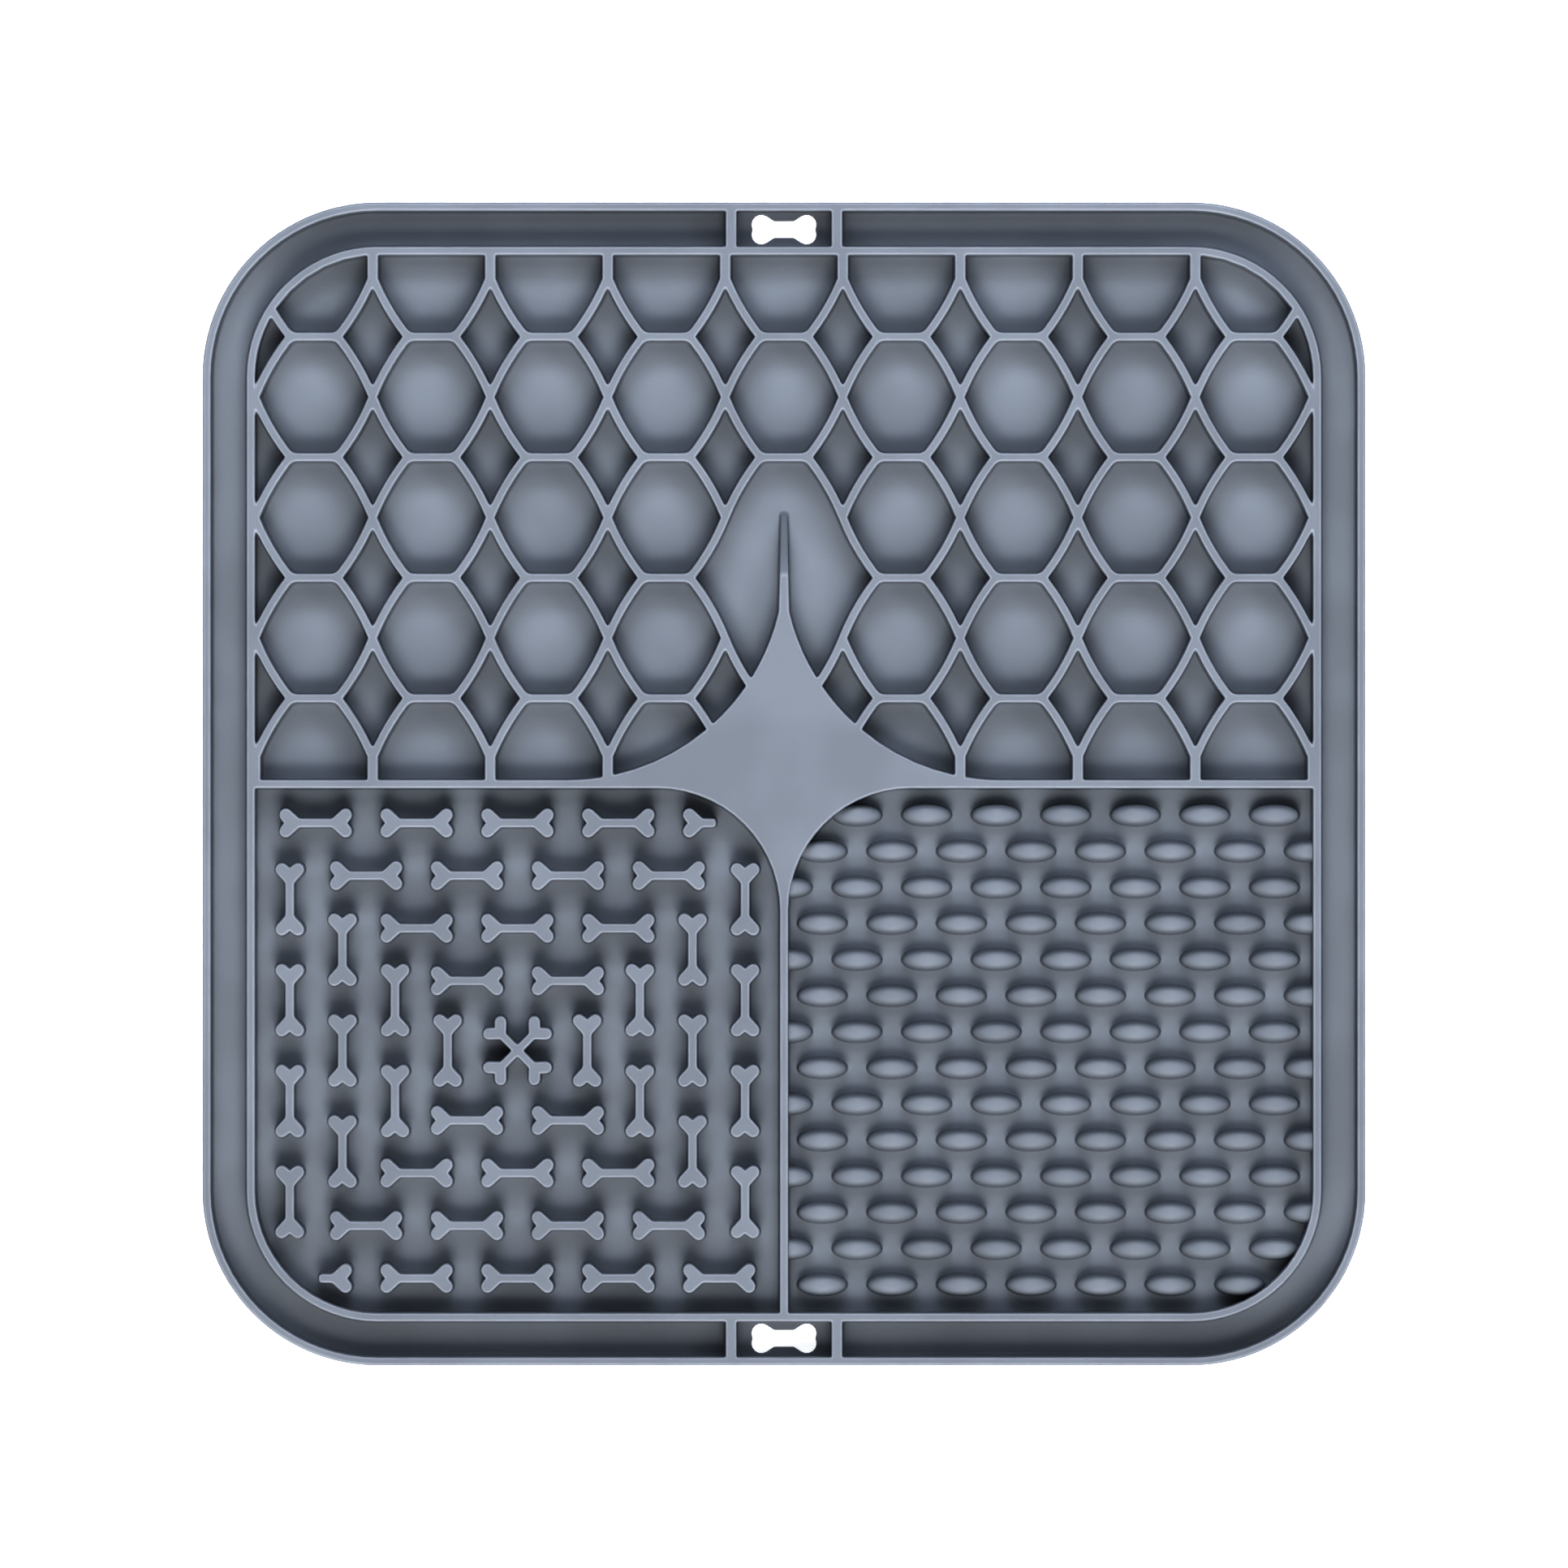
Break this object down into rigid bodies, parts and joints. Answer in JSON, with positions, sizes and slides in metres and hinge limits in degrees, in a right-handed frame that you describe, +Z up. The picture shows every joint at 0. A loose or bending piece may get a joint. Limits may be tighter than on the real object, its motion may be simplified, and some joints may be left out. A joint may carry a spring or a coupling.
{
  "type": "lick mat",
  "caption": "Square silicone lick mat with rounded corners: honeycomb cells, a star divider, small bones and oval pegs inside a gutter and rim, with hanging holes.",
  "frame": {"origin": "middle of the mat's footprint, on its flat underside", "axes": "+Z up out of the patterned face, +Y towards the honeycomb edge at the back, +X to the right with the pegs at the front right"},
  "size_m": [0.2, 0.2, 0.009],
  "materials": {
    "silicone": "soft matte moulded silicone, blue-grey"
  },
  "bodies": {
    "root": {"mat": "silicone", "hang_tab_back": "silicone", "hang_tab_front": "silicone"}
  },
  "joints": []
}
